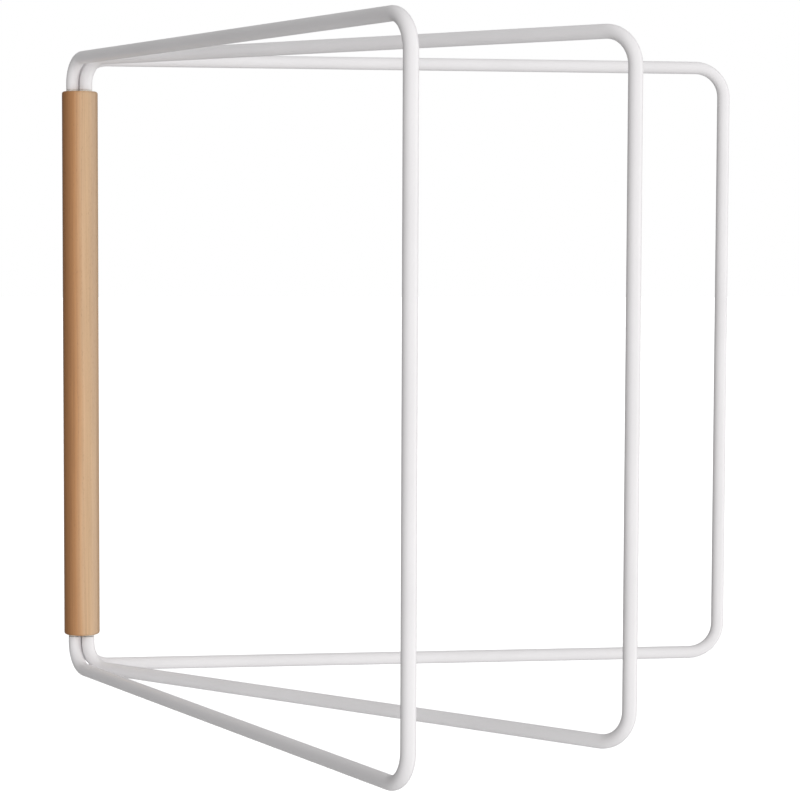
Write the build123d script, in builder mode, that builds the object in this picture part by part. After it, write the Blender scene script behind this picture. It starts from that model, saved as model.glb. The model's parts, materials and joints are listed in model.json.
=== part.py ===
"""Wall mounted swing-arm drying rack: an upright wooden bar with three tube frames hinged in its ends.

Row frame in millimetres: origin on the flat back of the bar at mid-height, +X along the wall to the
right, +Y into the wall, +Z up. The frames are drawn at the angles they stand at.
"""

import os
from math import cos, radians, sin

from build123d import *

# Upright bar
BAR_DIA = 28.0
BAR_LENGTH = 430.0
BAR_EDGE_ROUND = 2.0
BAR_AXIS_TO_BACK = 12.0  # the planed back lies this far behind the bar's axis

# Swing frames, bent from one length of steel tube each
TUBE_DIA = 10.0
TUBE_WALL = 1.0
FRAME_HEIGHT = 481.0  # between the centre lines of the top and bottom legs
FRAME_REACHES = {"far": 522.0, "middle": 509.0, "near": 522.0}  # hinge axis to outer upright, centre lines
HINGE_BEND_RADIUS = 20.0  # leaves a straight end for the hinge pin's stem
CORNER_BEND_RADIUS = 24.0
FRAME_ANGLES = {"far": 0.0, "middle": -45.8, "near": -67.9}  # about +Z from +X, as the rack stands

# Hinge pins and bushes, one of each at both ends of every frame
PIN_SPACING = 10.4  # sides of the triangle the three hinge axes make
PIN_BEARINGS = {"far": 80.0, "middle": -40.0, "near": 200.0}  # round the bar's axis from +X
JOURNAL_DIA = 6.0
JOURNAL_LENGTH = 18.0
JOURNAL_CHAMFER = 0.8
STEM_LENGTH = 4.2  # just under the straight end of the tube
STEM_CLEARANCE = 0.01  # radial, brazed into the tube
BUSH_DIA = 8.0
BUSH_LENGTH = 20.0
BUSH_FLANGE_DIA = 10.0
BUSH_FLANGE = 1.0
BUSH_EDGE = 0.3
RUNNING_CLEARANCE = 0.04  # radial, journal in bush
BUSH_CLEARANCE = 0.01  # radial, bush in the wood
BUSH_HOLE_DEPTH = 21.0
TOP_PLAY = 0.1  # the frame's weight closes this one
BOTTOM_PLAY = 0.4

# Keyhole hangers let into the back of the bar
HANGER_HEIGHT = 160.0  # above and below mid-height
PLATE_WIDTH = 12.0
PLATE_LENGTH = 50.0
PLATE_THICKNESS = 2.0
PLATE_CORNER = 2.0
PLATE_CLEARANCE = 0.1
KEYHOLE_ENTRY_DIA = 8.6
KEYHOLE_SLOT_WIDTH = 4.4
KEYHOLE_TRAVEL = 9.0
KEYHOLE_DROP = 5.0  # the entry hole lies this far below the plate's middle
HEAD_POCKET_WIDTH = 9.6
HEAD_POCKET_DEPTH = 5.0
PLATE_SCREW_OFFSET = 18.5
PLATE_SCREW_DIA = 3.0
PLATE_SCREW_HOLE = 3.2
PLATE_SCREW_SINK = 5.8
PLATE_SCREW_HEAD = 5.6
PLATE_SCREW_LENGTH = 14.0
SCREW_TIP = 3.0
SCREW_TIP_TAPER = 24.0
SCREW_DRIVE_WIDTH = 0.8
SCREW_DRIVE_REACH = 3.4
SCREW_DRIVE_DEPTH = 1.0
SINK_TAPER = 45.0
PILOT_CLEARANCE = 0.01

PIN_CIRCLE = PIN_SPACING / 3**0.5
HALF_BAR = BAR_LENGTH / 2
AXIS_Y = -BAR_AXIS_TO_BACK
TUBE_BORE = TUBE_DIA - 2 * TUBE_WALL
TOP_TUBE_END = HALF_BAR + BUSH_FLANGE + TOP_PLAY
BOTTOM_TUBE_END = -(HALF_BAR + BUSH_FLANGE + BOTTOM_PLAY)
TOP_LEG = (FRAME_HEIGHT + TOP_PLAY - BOTTOM_PLAY) / 2
BOTTOM_LEG = TOP_LEG - FRAME_HEIGHT
BACK = Plane.XZ  # the wall face; sketches on it are drawn in X and Z and extrude into the bar
POCKET_FLOOR = BACK.offset(PLATE_THICKNESS)
END_DIRECTIONS = {"top": 1, "bottom": -1}

hinge_points = {
    frame: (
        PIN_CIRCLE * cos(radians(bearing)),
        AXIS_Y + PIN_CIRCLE * sin(radians(bearing)),
    )
    for frame, bearing in PIN_BEARINGS.items()
}
hanger_centres = [(0, HANGER_HEIGHT), (0, -HANGER_HEIGHT)]
keyhole_middle = KEYHOLE_TRAVEL / 2 - KEYHOLE_DROP
screw_offsets = [(0, PLATE_SCREW_OFFSET), (0, -PLATE_SCREW_OFFSET)]
screw_points = [(0, centre[1] + offset[1]) for centre in hanger_centres for offset in screw_offsets]

os.makedirs("parts", exist_ok=True)


def save(part, name):
    """Write one piece to its own STEP file."""
    part.label = name
    export_step(part, f"parts/{name}.step")


# Upright bar: a dowel with a planed back, three bush holes in each end and two hanger housings
with BuildPart() as wooden_bar:
    with Locations((0, AXIS_Y, 0)):
        Cylinder(BAR_DIA / 2, BAR_LENGTH)
    fillet(wooden_bar.edges().filter_by(GeomType.CIRCLE), BAR_EDGE_ROUND)
    with Locations((0, BAR_DIA / 2, 0)):
        Box(BAR_DIA, BAR_DIA, BAR_LENGTH, mode=Mode.SUBTRACT)
    for direction in END_DIRECTIONS.values():
        with BuildSketch(Plane.XY.offset(direction * HALF_BAR)):
            with Locations(*hinge_points.values()):
                Circle(BUSH_DIA / 2 + BUSH_CLEARANCE)
        extrude(amount=-direction * BUSH_HOLE_DEPTH, mode=Mode.SUBTRACT)
    with BuildSketch(BACK):
        with Locations(*hanger_centres):
            RectangleRounded(
                PLATE_WIDTH + 2 * PLATE_CLEARANCE,
                PLATE_LENGTH + 2 * PLATE_CLEARANCE,
                PLATE_CORNER + PLATE_CLEARANCE,
            )
    extrude(amount=PLATE_THICKNESS, mode=Mode.SUBTRACT)
    with BuildSketch(POCKET_FLOOR):
        with Locations(*[(0, centre[1] + keyhole_middle) for centre in hanger_centres]):
            SlotCenterToCenter(KEYHOLE_TRAVEL, HEAD_POCKET_WIDTH, rotation=90)
    extrude(amount=HEAD_POCKET_DEPTH, mode=Mode.SUBTRACT)
    with BuildSketch(POCKET_FLOOR):
        with Locations(*screw_points):
            Circle(PLATE_SCREW_DIA / 2 + PILOT_CLEARANCE)
    extrude(amount=PLATE_SCREW_LENGTH - PLATE_THICKNESS + PLATE_CLEARANCE, mode=Mode.SUBTRACT)
save(wooden_bar.part, "wooden_bar")

# Swing frames: each tube runs from its top hinge pin round three sides and back to the bottom one
for frame, angle in FRAME_ANGLES.items():
    hinge_x, hinge_y = hinge_points[frame]
    reach = FRAME_REACHES[frame]
    frame_plane = Plane(
        origin=(hinge_x, hinge_y, 0),
        x_dir=(cos(radians(angle)), sin(radians(angle)), 0),
        z_dir=(sin(radians(angle)), -cos(radians(angle)), 0),
    )
    with BuildPart() as tube:
        with BuildLine(frame_plane) as centre_line:
            FilletPolyline(
                (0, TOP_TUBE_END),
                (0, TOP_LEG),
                (reach, TOP_LEG),
                (reach, BOTTOM_LEG),
                (0, BOTTOM_LEG),
                (0, BOTTOM_TUBE_END),
                radius=[HINGE_BEND_RADIUS, CORNER_BEND_RADIUS, CORNER_BEND_RADIUS, HINGE_BEND_RADIUS],
            )
        with BuildSketch(Plane.XY.offset(TOP_TUBE_END)):
            with Locations((hinge_x, hinge_y)):
                Circle(TUBE_DIA / 2)
                Circle(TUBE_BORE / 2, mode=Mode.SUBTRACT)
        sweep(path=centre_line.wires()[0])
    save(tube.part, f"frame_{frame}")

# Hinge pins: a journal turned down from a stem that is brazed into each end of the tube
# Bushes: plain flanged sleeves pressed into the ends of the bar
for frame, (hinge_x, hinge_y) in hinge_points.items():
    for end, direction in END_DIRECTIONS.items():
        tube_end = Plane.XY.offset(TOP_TUBE_END if end == "top" else BOTTOM_TUBE_END)
        with BuildPart() as hinge_pin:
            with BuildSketch(tube_end):
                with Locations((hinge_x, hinge_y)):
                    Circle(TUBE_BORE / 2 - STEM_CLEARANCE)
            extrude(amount=direction * STEM_LENGTH)
            with BuildSketch(tube_end):
                with Locations((hinge_x, hinge_y)):
                    Circle(JOURNAL_DIA / 2)
            extrude(amount=-direction * JOURNAL_LENGTH)
            tip = hinge_pin.edges().sort_by(Axis.Z)[0 if direction > 0 else -1]
            chamfer(tip, JOURNAL_CHAMFER)
        save(hinge_pin.part, f"hinge_pin_{frame}_{end}")

        bar_end = Plane.XY.offset(direction * HALF_BAR)
        with BuildPart() as bush:
            with BuildSketch(bar_end):
                with Locations((hinge_x, hinge_y)):
                    Circle(BUSH_DIA / 2)
            extrude(amount=-direction * BUSH_LENGTH)
            with BuildSketch(bar_end):
                with Locations((hinge_x, hinge_y)):
                    Circle(BUSH_FLANGE_DIA / 2)
            extrude(amount=direction * BUSH_FLANGE)
            rim = bush.edges().sort_by(Axis.Z)[-1 if direction > 0 else 0]
            fillet(rim, BUSH_EDGE)
            with BuildSketch(bar_end.offset(direction * BUSH_FLANGE)):
                with Locations((hinge_x, hinge_y)):
                    Circle(JOURNAL_DIA / 2 + RUNNING_CLEARANCE)
            extrude(amount=-direction * (BUSH_LENGTH + BUSH_FLANGE), mode=Mode.SUBTRACT)
        save(bush.part, f"bush_{frame}_{end}")

# Hanger plates: flush keyhole plates that hook over the heads of the wall screws
for end, centre in zip(END_DIRECTIONS, hanger_centres):
    with BuildPart() as hanger_plate:
        with BuildSketch(BACK):
            with Locations(centre):
                RectangleRounded(PLATE_WIDTH, PLATE_LENGTH, PLATE_CORNER)
            with Locations((0, centre[1] - KEYHOLE_DROP)):
                Circle(KEYHOLE_ENTRY_DIA / 2, mode=Mode.SUBTRACT)
            with Locations((0, centre[1] + keyhole_middle)):
                SlotCenterToCenter(
                    KEYHOLE_TRAVEL, KEYHOLE_SLOT_WIDTH, rotation=90, mode=Mode.SUBTRACT
                )
        extrude(amount=PLATE_THICKNESS)
        for offset in screw_offsets:
            with BuildSketch(BACK):
                with Locations((0, centre[1] + offset[1])):
                    Circle(PLATE_SCREW_HOLE / 2)
            extrude(amount=PLATE_THICKNESS, mode=Mode.SUBTRACT)
            with BuildSketch(BACK):
                with Locations((0, centre[1] + offset[1])):
                    Circle(PLATE_SCREW_SINK / 2)
            sink_depth = (PLATE_SCREW_SINK - PLATE_SCREW_HOLE) / 2
            extrude(amount=sink_depth, taper=SINK_TAPER, mode=Mode.SUBTRACT)
    save(hanger_plate.part, f"hanger_plate_{end}")

# Hanger screws: four alike, countersunk flush with the plates
head_depth = (PLATE_SCREW_HEAD - PLATE_SCREW_DIA) / 2
with BuildPart() as hanger_screws:
    for point in screw_points:
        with BuildSketch(BACK):
            with Locations(point):
                Circle(PLATE_SCREW_HEAD / 2)
        extrude(amount=head_depth, taper=SINK_TAPER)
        with BuildSketch(BACK.offset(head_depth)):
            with Locations(point):
                Circle(PLATE_SCREW_DIA / 2)
        extrude(amount=PLATE_SCREW_LENGTH - head_depth - SCREW_TIP)
        with BuildSketch(BACK.offset(PLATE_SCREW_LENGTH - SCREW_TIP)):
            with Locations(point):
                Circle(PLATE_SCREW_DIA / 2)
        extrude(amount=SCREW_TIP, taper=SCREW_TIP_TAPER)
        with BuildSketch(BACK):
            with Locations(point):
                Rectangle(SCREW_DRIVE_REACH, SCREW_DRIVE_WIDTH)
                Rectangle(SCREW_DRIVE_WIDTH, SCREW_DRIVE_REACH)
        extrude(amount=SCREW_DRIVE_DEPTH, mode=Mode.SUBTRACT)
save(hanger_screws.part, "hanger_screws")
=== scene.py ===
"""Looks for the wall mounted swing-arm drying rack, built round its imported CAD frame."""

import json
from math import atan2, cos, pi, radians, sin

import bmesh
import bpy
from mathutils import Matrix, Vector


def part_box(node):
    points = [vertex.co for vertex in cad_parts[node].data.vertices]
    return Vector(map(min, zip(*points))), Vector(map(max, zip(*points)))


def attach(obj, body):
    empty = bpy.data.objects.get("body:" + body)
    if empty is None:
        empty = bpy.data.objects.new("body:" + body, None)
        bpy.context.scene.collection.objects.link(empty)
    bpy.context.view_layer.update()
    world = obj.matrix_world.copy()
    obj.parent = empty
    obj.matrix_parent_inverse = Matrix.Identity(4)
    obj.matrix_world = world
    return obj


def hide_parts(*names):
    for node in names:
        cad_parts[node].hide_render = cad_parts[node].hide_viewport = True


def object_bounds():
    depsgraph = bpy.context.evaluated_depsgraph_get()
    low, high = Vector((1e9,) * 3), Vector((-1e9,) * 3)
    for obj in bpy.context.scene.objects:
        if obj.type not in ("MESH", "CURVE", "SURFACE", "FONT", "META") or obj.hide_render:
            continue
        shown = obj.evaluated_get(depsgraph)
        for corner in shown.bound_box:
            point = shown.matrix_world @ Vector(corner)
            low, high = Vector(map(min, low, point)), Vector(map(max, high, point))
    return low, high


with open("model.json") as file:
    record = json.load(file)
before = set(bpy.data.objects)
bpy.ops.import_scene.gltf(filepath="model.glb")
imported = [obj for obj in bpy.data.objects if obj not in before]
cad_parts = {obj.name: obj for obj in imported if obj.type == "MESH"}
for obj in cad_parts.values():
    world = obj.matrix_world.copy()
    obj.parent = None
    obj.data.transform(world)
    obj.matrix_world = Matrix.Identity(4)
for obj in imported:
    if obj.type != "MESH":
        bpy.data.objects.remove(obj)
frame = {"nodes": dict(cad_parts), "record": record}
cad_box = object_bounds()
nodes = frame["nodes"]
scene = bpy.context.scene
MM = 0.001


# ---------------------------------------------------------------- node helpers
class Nodes:
    """Short names for building the nodes of a material or a world."""

    def __init__(self, owner):
        owner.use_nodes = True
        self.tree = owner.node_tree
        self.tree.nodes.clear()

    def new(self, kind):
        return self.tree.nodes.new("ShaderNode" + kind)

    def link(self, source, target):
        self.tree.links.new(source, target)

    def put(self, socket, value):
        if isinstance(value, bpy.types.NodeSocket):
            self.link(value, socket)
        else:
            socket.default_value = value

    def split(self, vector):
        node = self.new("SeparateXYZ")
        self.link(vector, node.inputs[0])
        return node.outputs

    def math(self, operation, *values):
        node = self.new("Math")
        node.operation = operation
        for socket, value in zip(node.inputs, values):
            self.put(socket, value)
        return node.outputs[0]

    def ramp(self, value, *stops, interpolation="LINEAR"):
        node = self.new("ValToRGB")
        node.color_ramp.interpolation = interpolation
        self.link(value, node.inputs["Fac"])
        elements = node.color_ramp.elements
        while len(elements) < len(stops):
            elements.new(0.5)
        for element, (place, colour) in zip(elements, stops):
            element.position = place
            element.color = (*colour, 1)
        return node.outputs["Color"]

    def mix(self, factor, a, b, blend="MIX"):
        node = self.new("Mix")
        node.data_type = "RGBA"
        node.blend_type = blend
        self.put(node.inputs[0], factor)
        self.put(node.inputs[6], a)
        self.put(node.inputs[7], b)
        return node.outputs[2]


class Graph(Nodes):
    """A material with one Principled shader, and the textures that feed it."""

    def __init__(self, name):
        self.material = bpy.data.materials.new(name)
        super().__init__(self.material)
        output = self.new("OutputMaterial")
        self.shader = self.new("BsdfPrincipled")
        self.link(self.shader.outputs[0], output.inputs["Surface"])

    def set(self, **values):
        for name, value in values.items():
            self.put(self.shader.inputs[name.replace("_", " ")], value)

    def coords(self, scale=(1, 1, 1), offset=(0, 0, 0), turn=(0, 0, 0)):
        source = self.new("TexCoord")
        mapping = self.new("Mapping")
        mapping.inputs["Scale"].default_value = scale
        mapping.inputs["Location"].default_value = offset
        mapping.inputs["Rotation"].default_value = turn
        self.link(source.outputs["Object"], mapping.inputs["Vector"])
        return mapping.outputs["Vector"]

    def noise(self, vector, scale, detail, roughness=0.5):
        node = self.new("TexNoise")
        self.link(vector, node.inputs["Vector"])
        node.inputs["Scale"].default_value = scale
        node.inputs["Detail"].default_value = detail
        node.inputs["Roughness"].default_value = roughness
        return node.outputs["Fac"]

    def voronoi(self, vector, scale, output="Distance"):
        node = self.new("TexVoronoi")
        self.link(vector, node.inputs["Vector"])
        node.inputs["Scale"].default_value = scale
        return node.outputs[output]

    def remap(self, value, low, high, to_low=0.0, to_high=1.0):
        node = self.new("MapRange")
        self.link(value, node.inputs["Value"])
        names = ("From Min", "From Max", "To Min", "To Max")
        for name, number in zip(names, (low, high, to_low, to_high)):
            node.inputs[name].default_value = number
        return node.outputs["Result"]

    def bump(self, height, strength, distance, normal=None):
        node = self.new("Bump")
        node.inputs["Strength"].default_value = strength
        node.inputs["Distance"].default_value = distance
        self.link(height, node.inputs["Height"])
        if normal is not None:
            self.link(normal, node.inputs["Normal"])
        return node.outputs["Normal"]


# ---------------------------------------------------------------- materials
PEEL_RELIEF = 0.10 * MM
FINE_RELIEF = 0.02 * MM


def wood_material():
    """Clear-lacquered light hardwood with upright growth rings, darker on its left side: partly
    heartwood, partly painted shade.
    """
    g = Graph("light_wood")
    heart_shade_fade = 10 * MM  # heartwood and painted shade fade to sapwood over this much either side of the middle
    heart_shade_wander = 5 * MM  # how far the edge of the heartwood and painted shade strays
    pith = (-36 * MM, 38 * MM)  # outside the dowel
    ring_pitch = 2.3 * MM
    ring_drift = 7.0 * MM
    ring_lean = (radians(0.5), radians(-0.8), 0)
    fibre_relief = 0.04 * MM
    pore_relief = 0.08 * MM

    # darker on the left, palest just right of the middle and a little darker again at the right
    # edge: partly heartwood and sapwood, partly painted shade on the left side where less light
    # falls
    wander = g.math("SUBTRACT", g.noise(g.coords(scale=(60, 60, 9)), 1.0, 3.0), 0.5)
    sway = g.math("MULTIPLY", wander, heart_shade_wander)
    across = g.remap(g.math("ADD", g.split(g.coords())[0], sway), -heart_shade_fade, heart_shade_fade)
    heart_and_shade = g.ramp(
        across,
        (0.0, (0.425, 0.200, 0.080)),
        (0.26, (0.545, 0.262, 0.098)),
        (0.42, (0.620, 0.340, 0.156)),
        (0.56, (0.690, 0.445, 0.252)),
        (0.82, (0.655, 0.435, 0.252)),
        (1.0, (0.565, 0.375, 0.222)),
    )

    # growth rings round the pith
    drift = g.math("MULTIPLY", g.noise(g.coords(scale=(26, 26, 2.6)), 1.0, 2.0), ring_drift)
    east, north, _ = g.split(g.coords(offset=(-pith[0], -pith[1], 0), turn=ring_lean))
    squares = g.math("ADD", g.math("MULTIPLY", east, east), g.math("MULTIPLY", north, north))
    radius = g.math("SQRT", squares)
    ring = g.math("FRACT", g.math("DIVIDE", g.math("ADD", radius, drift), ring_pitch))
    rings = g.ramp(
        ring,
        (0.0, (1.0, 1.0, 1.0)),
        (0.55, (0.96, 0.95, 0.94)),
        (0.86, (0.80, 0.75, 0.70)),
        (0.93, (0.78, 0.72, 0.66)),
        (1.0, (1.0, 1.0, 1.0)),
    )
    uneven = g.remap(g.noise(g.coords(scale=(180, 180, 1.5)), 1.0, 2.0), 0.35, 0.7, 0.20, 0.62)
    # the rings laid over the tone that holds the heartwood and the painted shade on the left side
    ringed = g.mix(uneven, heart_and_shade, g.mix(1.0, heart_and_shade, rings, "MULTIPLY"))

    # fine long fibres, broader streaks, and short open pores, most of them in the late wood
    fibres = g.noise(g.coords(scale=(1150, 1150, 16)), 1.0, 4.0, 0.62)
    streaks = g.noise(g.coords(scale=(330, 330, 4), offset=(3, 1, 7)), 1.0, 3.0)
    fibre_tone = g.ramp(fibres, (0.28, (0.78, 0.76, 0.74)), (0.72, (1.08, 1.08, 1.08)))
    streak_tone = g.ramp(streaks, (0.30, (0.84, 0.80, 0.76)), (0.70, (1.08, 1.08, 1.08)))
    fibred = g.mix(0.45, ringed, fibre_tone, "MULTIPLY")
    streaked = g.mix(0.40, fibred, streak_tone, "MULTIPLY")
    pores = g.remap(g.voronoi(g.coords(scale=(1500, 1500, 190)), 1.0), 0.14, 0.26, 1.0, 0.0)
    pore_mask = g.math("MULTIPLY", pores, g.remap(ring, 0.25, 0.9, 0.10, 0.80))
    pored = g.mix(g.math("MULTIPLY", pore_mask, 0.40), streaked, (0.215, 0.100, 0.042, 1))

    # end grain drinks more lacquer and is darker
    facing_up = g.split(g.new("NewGeometry").outputs["Normal"])[2]
    end_grain = g.remap(g.math("ABSOLUTE", facing_up), 0.70, 0.98)
    colour = g.mix(g.math("MULTIPLY", end_grain, 0.45), pored, (0.33, 0.17, 0.078, 1))

    relief = g.bump(fibres, 0.30, fibre_relief)
    relief = g.bump(g.math("SUBTRACT", 1.0, pore_mask), 0.5, pore_relief, relief)
    g.set(
        Base_Color=colour,
        Roughness=g.remap(g.math("ADD", fibres, pore_mask), 0.2, 1.4, 0.42, 0.60),
        Coat_Weight=0.30,
        Coat_Roughness=0.36,
        Specular_IOR_Level=0.5,
        Normal=relief,
    )
    return g.material


def powder_coat_material():
    """Satin white powder coat: orange peel, fine grit in the film and faint handling marks."""
    g = Graph("white_powder_coat")
    peel = g.noise(g.coords(), 950.0, 2.0, 0.45)
    grit = g.noise(g.coords(offset=(0.3, 0.7, 0.1)), 4200.0, 2.0, 0.6)
    cloud = g.noise(g.coords(offset=(1.1, 0.2, 0.5)), 14.0, 3.0, 0.5)
    scuffs = g.noise(g.coords(scale=(90, 90, 420)), 1.0, 4.0, 0.7)
    duller = (0.838, 0.820, 0.828, 1)
    brighter = (0.876, 0.858, 0.866, 1)
    tint = g.mix(g.remap(cloud, 0.3, 0.7), duller, brighter)
    marks = g.remap(scuffs, 0.70, 0.82, 0.0, 0.22)
    colour = g.mix(marks, tint, (0.71, 0.69, 0.68, 1))
    film = g.bump(peel, 0.30, PEEL_RELIEF)
    film = g.bump(grit, 0.12, FINE_RELIEF, film)
    g.set(
        Base_Color=colour,
        Roughness=g.remap(g.math("ADD", peel, marks), 0.3, 0.9, 0.36, 0.50),
        Specular_IOR_Level=0.5,
        Normal=film,
    )
    return g.material


def turned_steel_material():
    """Bright turned steel with the lathe's feed lines round the pin."""
    g = Graph("pin_steel")
    feed = g.noise(g.coords(scale=(12, 12, 9000)), 1.0, 2.0, 0.6)
    stain = g.noise(g.coords(scale=(260, 260, 260)), 1.0, 3.0)
    colour = g.mix(g.remap(stain, 0.3, 0.75), (0.60, 0.60, 0.61, 1), (0.50, 0.49, 0.48, 1))
    g.set(
        Base_Color=colour,
        Metallic=1.0,
        Roughness=g.remap(g.math("ADD", feed, stain), 0.6, 1.4, 0.24, 0.42),
        Normal=g.bump(feed, 0.25, FINE_RELIEF),
    )
    return g.material


def nylon_material():
    """Natural moulded nylon, slightly translucent and a little mottled."""
    g = Graph("nylon")
    mottle = g.noise(g.coords(), 420.0, 3.0, 0.5)
    grain = g.noise(g.coords(offset=(0.2, 0, 0.4)), 5200.0, 2.0)
    colour = g.mix(g.remap(mottle, 0.3, 0.7), (0.78, 0.77, 0.70, 1), (0.84, 0.83, 0.78, 1))
    g.set(
        Base_Color=colour,
        Roughness=g.remap(grain, 0.3, 0.7, 0.40, 0.56),
        Subsurface_Weight=0.15,
        Subsurface_Radius=(1.2 * MM, 1.1 * MM, 0.9 * MM),
        Normal=g.bump(grain, 0.15, FINE_RELIEF),
    )
    return g.material


def zinc_material(name, warm):
    """Zinc-plated pressed steel with a rolled grain and passivation colours."""
    g = Graph(name)
    rolled = g.noise(g.coords(scale=(3600, 3600, 110)), 1.0, 3.0, 0.6)
    spangle = g.voronoi(g.coords(), 900.0, "Color")
    film = g.noise(g.coords(offset=(0.4, 0.1, 0.2)), 130.0, 3.0)
    cool = (0.62, 0.64, 0.66, 1)
    tinted = (0.64, 0.60, 0.50, 1) if warm else (0.56, 0.59, 0.64, 1)
    colour = g.mix(g.remap(film, 0.35, 0.7), cool, tinted)
    level = g.new("RGBToBW")
    g.link(spangle, level.inputs[0])
    g.set(
        Base_Color=colour,
        Metallic=1.0,
        Roughness=g.remap(g.math("ADD", rolled, level.outputs[0]), 0.5, 1.5, 0.26, 0.46),
        Normal=g.bump(rolled, 0.2, FINE_RELIEF),
    )
    return g.material


MATERIALS = {
    "light_wood": wood_material(),
    "white_powder_coat": powder_coat_material(),
    "pin_steel": turned_steel_material(),
    "nylon": nylon_material(),
    "zinc_plated_steel": zinc_material("zinc_plated_steel", False),
    "screw_steel": zinc_material("screw_steel", True),
}
for part in frame["record"]["subparts"]:
    for material_slot in nodes[part["node"]].material_slots:
        material_slot.material = MATERIALS[part["material_slot"]]


# ---------------------------------------------------------------- swing frames
TUBE_RADIUS = 5.0 * MM
BORE_RADIUS = 4.0 * MM
HINGE_BEND = 20.0 * MM
CORNER_BEND = 24.0 * MM
BEND_RADII = (HINGE_BEND, CORNER_BEND, CORNER_BEND, HINGE_BEND)
BEND_STEPS = 20
BEND_FLATTENING = 0.025  # the bender squeezes the tube by this much in the plane of each bend
BEND_BULGE = 0.5 * BEND_FLATTENING  # and it widens by this much across that plane
STRAIGHT_STEP = 40 * MM  # rings on the straights stand about this far apart
STEM = 4.2 * MM  # of each hinge pin, inside the tube
ROUND = 64  # faces round the tube
END_ROUNDS = ((TUBE_RADIUS, 0.30 * MM), (BORE_RADIUS, -0.15 * MM))  # surface radius, edge round
END_STEPS = 4  # rings round each edge


def straight(start, end, heading):
    steps = max(1, round((end - start).length / STRAIGHT_STEP))
    return [(start.lerp(end, step / steps), heading, 0.0) for step in range(steps + 1)]


def tube_stations(ends, legs, reach):
    """Stations along the centre line, from the top end to the bottom one.

    Each is a place (along, up), the heading there, and how far into a bend it is, 1 at the middle.
    """
    corners = [
        (0, ends[0]), (0, legs[0]), (reach, legs[0]), (reach, legs[1]), (0, legs[1]), (0, ends[1])
    ]
    points = [Vector(corner) for corner in corners]
    stations = []
    start = points[0]
    for i in range(1, len(points) - 1):
        before = (points[i] - points[i - 1]).normalized()
        after = (points[i + 1] - points[i]).normalized()
        radius = BEND_RADII[i - 1]
        bend_start = points[i] - radius * before
        stations += straight(start, bend_start, before)
        centre = bend_start + radius * after
        for step in range(1, BEND_STEPS):
            share = step / BEND_STEPS
            sweep = share * pi / 2
            place = centre + radius * (sin(sweep) * before - cos(sweep) * after)
            heading = cos(sweep) * before + sin(sweep) * after
            stations.append((place, heading, sin(pi * share)))
        start = points[i] + radius * after
    stations += straight(start, points[-1], (points[-1] - points[-2]).normalized())
    return stations


def frame_tube(name, hinge, angle, stations):
    """A bent tube, hollow all the way through, its cut ends deburred."""
    outward = Vector((cos(angle), sin(angle), 0))
    sideways = Vector((-sin(angle), cos(angle), 0))
    upward = Vector((0, 0, 1))
    mesh = bmesh.new()
    turns = [2 * pi * i / ROUND for i in range(ROUND)]

    def ring(station, radius, shift=0.0):
        place, heading, bent = station
        place = place + shift * heading
        inward = Vector((heading.y, -heading.x))
        squeeze = 1 - BEND_FLATTENING * bent
        spread = 1 + BEND_BULGE * bent
        verts = []
        for turn in turns:
            flat = place + radius * squeeze * cos(turn) * inward
            side = radius * spread * sin(turn)
            spot = hinge + flat.x * outward + flat.y * upward + side * sideways
            verts.append(mesh.verts.new(spot))
        return verts

    def rounded_end(station, radius, edge, along):
        """Rings that turn the edge from the end face into the wall, from the face inwards."""
        rings = []
        for step in range(END_STEPS):
            sweep = step / END_STEPS * pi / 2
            inset = edge * (1 - sin(sweep))
            depth = along * abs(edge) * (1 - cos(sweep))
            rings.append(ring(station, radius - inset, depth))
        return rings

    walls = []
    first, *between, last = stations
    for radius, edge in END_ROUNDS:
        rings = rounded_end(first, radius, edge, 1)
        rings.append(ring(first, radius, abs(edge)))
        rings += [ring(station, radius) for station in between]
        rings.append(ring(last, radius, -abs(edge)))
        rings += reversed(rounded_end(last, radius, edge, -1))
        walls.append(rings)
    outer, bore = walls
    loop = outer + bore[::-1]
    for i, verts in enumerate(loop):
        others = loop[(i + 1) % len(loop)]
        for j in range(ROUND):
            k = (j + 1) % ROUND
            mesh.faces.new((verts[j], verts[k], others[k], others[j]))
    bmesh.ops.recalc_face_normals(mesh, faces=mesh.faces)
    data = bpy.data.meshes.new(name)
    mesh.to_mesh(data)
    mesh.free()
    for polygon in data.polygons:
        polygon.use_smooth = True
    data.materials.append(MATERIALS["white_powder_coat"])
    tube = bpy.data.objects.new(name, data)
    scene.collection.objects.link(tube)
    return tube


for which in ("far", "middle", "near"):
    node = f"frame_{which}"
    low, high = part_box(node)
    upper_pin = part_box(f"hinge_pin_{which}_top")
    lower_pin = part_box(f"hinge_pin_{which}_bottom")
    hinge = (Vector(upper_pin[0]) + Vector(upper_pin[1])) / 2
    hinge.z = 0
    # the outer upright, seen from the hinge; the far frame lies along the wall
    corner_x = high[0] - TUBE_RADIUS - hinge.x
    corner_y = low[1] + TUBE_RADIUS - hinge.y if which != "far" else 0.0
    reach = (corner_x**2 + corner_y**2) ** 0.5
    ends = (upper_pin[1][2] - STEM, lower_pin[0][2] + STEM)
    legs = (high[2] - TUBE_RADIUS, low[2] + TUBE_RADIUS)
    stations = tube_stations(ends, legs, reach)
    tube = frame_tube(f"{which}_tube", hinge, atan2(corner_y, corner_x), stations)
    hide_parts(node)
    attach(tube, f"{which}_frame")


# ---------------------------------------------------------------- floor, light and camera
FLOOR_LEVEL = -0.95
FLOOR_REACH = 40.0  # to each side
FLOOR_GLOW = 0.60
KEY_PLACE = (2.35, -2.75, 1.65)
KEY_SIZE = (1.7, 2.2)
KEY_POWER = 6
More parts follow.
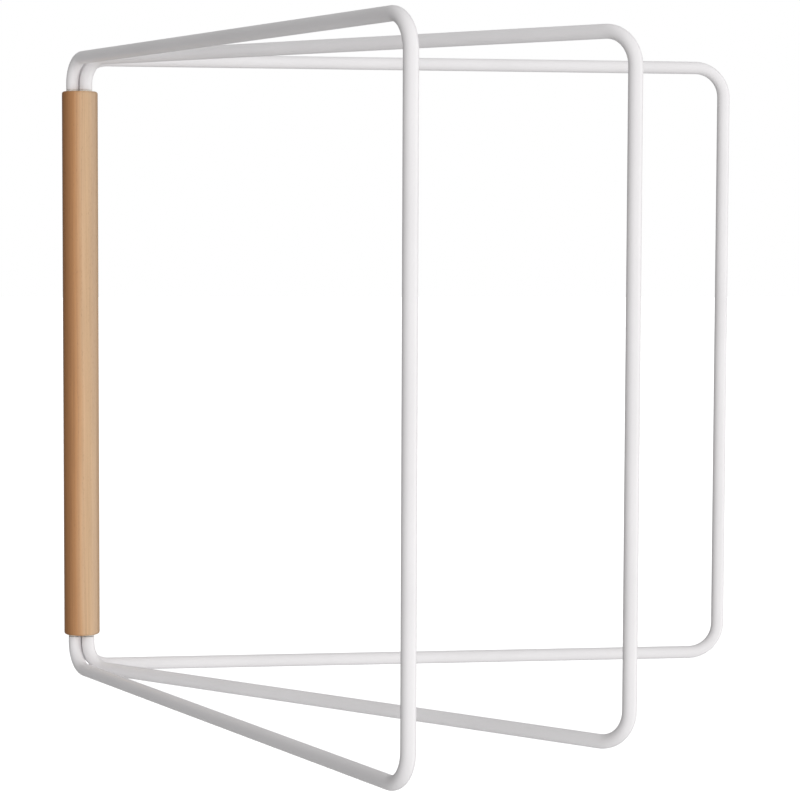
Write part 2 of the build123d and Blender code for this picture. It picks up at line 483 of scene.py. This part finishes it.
# bearing in degrees to the right of the view from the front, and relative brightness
SOFT_BOXES = (
    (-180, 0.14),
    (-105, 0.02),
    (-60, 0.25),
    (-14, 0.91),
    (8, 0.91),
    (46, 0.22),
    (72, 1.0),
    (96, 1.0),
    (128, 0.10),
    (180, 0.14),
)
BOX_STRENGTH = 1.62
OVERHEAD = 0.42  # relative brightness straight up and down
OVERHEAD_SPREAD = 4.0  # the higher, the nearer the zenith the soft boxes reach
WHITE = (1, 1, 1, 1)
CAMERA_PLACE = (-0.0427, -2.0569, 0.1047)
CAMERA_TURN = radians(8.30)
CAMERA_TILT = radians(3.72)
CAMERA_ROLL = radians(0.22)
CAMERA_LENS = 115.4
SENSOR_WIDTH = 36


def key_light(target):
    """A weak rectangular lamp high on the right, in front of the rack."""
    data = bpy.data.lights.new("key", "AREA")
    data.shape = "RECTANGLE"
    data.size, data.size_y = KEY_SIZE
    data.energy = KEY_POWER
    light = bpy.data.objects.new("key", data)
    scene.collection.objects.link(light)
    light.location = KEY_PLACE
    light.rotation_euler = (target - Vector(KEY_PLACE)).to_track_quat("-Z", "Y").to_euler()


def floor():
    """A wide, flat, faintly glowing pale floor below the rack, which lights nothing itself."""
    corners = [(-1, -1), (1, -1), (1, 1), (-1, 1)]
    places = [(FLOOR_REACH * x, FLOOR_REACH * y, FLOOR_LEVEL) for x, y in corners]
    mesh = bpy.data.meshes.new("floor")
    mesh.from_pydata(places, [], [(0, 1, 2, 3)])
    thing = bpy.data.objects.new("floor", mesh)
    scene.collection.objects.link(thing)
    g = Graph("floor")
    tone = g.remap(g.noise(g.coords(), 3.0, 2.0), 0.3, 0.7)
    g.set(
        Base_Color=g.mix(tone, (0.90, 0.90, 0.90, 1), (0.92, 0.92, 0.92, 1)),
        Roughness=0.8,
        Emission_Color=WHITE,
        Emission_Strength=FLOOR_GLOW,
    )
    mesh.materials.append(g.material)
    thing.visible_diffuse = False
    thing.visible_glossy = False


def studio_world():
    """A white backdrop to the camera; to the rack, soft boxes round it in a dim room.

    The boxes run from floor to ceiling, so a box's light depends on the compass bearing alone,
    and fades into the room's mean level straight up and down.
    """
    world = bpy.data.worlds.new("studio")
    w = Nodes(world)
    east, north, rise = w.split(w.new("TexCoord").outputs["Generated"])
    bearing = w.math("ARCTAN2", east, w.math("MULTIPLY", north, -1.0))
    turn = w.math("ADD", w.math("DIVIDE", bearing, 2 * pi), 0.5)
    stops = [(degrees / 360 + 0.5, (level, level, level)) for degrees, level in SOFT_BOXES]
    boxes = w.ramp(turn, *stops, interpolation="EASE")
    steepness = w.math("POWER", w.math("ABSOLUTE", rise), OVERHEAD_SPREAD)
    light = w.mix(steepness, boxes, (OVERHEAD, OVERHEAD, OVERHEAD, 1))

    ambient = w.new("Background")
    w.put(ambient.inputs["Color"], light)
    w.put(ambient.inputs["Strength"], BOX_STRENGTH)
    backdrop = w.new("Background")
    w.put(backdrop.inputs["Color"], WHITE)
    w.put(backdrop.inputs["Strength"], 1.0)
    choice = w.new("MixShader")
    w.link(w.new("LightPath").outputs["Is Camera Ray"], choice.inputs[0])
    w.link(ambient.outputs[0], choice.inputs[1])
    w.link(backdrop.outputs[0], choice.inputs[2])
    w.link(choice.outputs[0], w.new("OutputWorld").inputs["Surface"])
    return world


def photo_camera():
    """The camera where the photograph was taken from, as fitted to the frames and the bar."""
    data = bpy.data.cameras.new("camera")
    data.sensor_width = SENSOR_WIDTH
    data.lens = CAMERA_LENS
    camera = bpy.data.objects.new("camera", data)
    scene.collection.objects.link(camera)
    level_ahead = cos(CAMERA_TILT)
    ahead = Vector(
        (sin(CAMERA_TURN) * level_ahead, cos(CAMERA_TURN) * level_ahead, -sin(CAMERA_TILT))
    )
    right = Vector((cos(CAMERA_TURN), -sin(CAMERA_TURN), 0))
    up = right.cross(ahead)
    right_rolled = cos(CAMERA_ROLL) * right + sin(CAMERA_ROLL) * up
    up_rolled = cos(CAMERA_ROLL) * up - sin(CAMERA_ROLL) * right
    rotation = Matrix((right_rolled, up_rolled, -ahead)).transposed()
    camera.matrix_world = Matrix.Translation(CAMERA_PLACE) @ rotation.to_4x4()
    return camera


scene.world = studio_world()
scene.view_settings.view_transform = "Standard"
floor()
key_light((Vector(cad_box[0]) + Vector(cad_box[1])) / 2)
scene.camera = photo_camera()
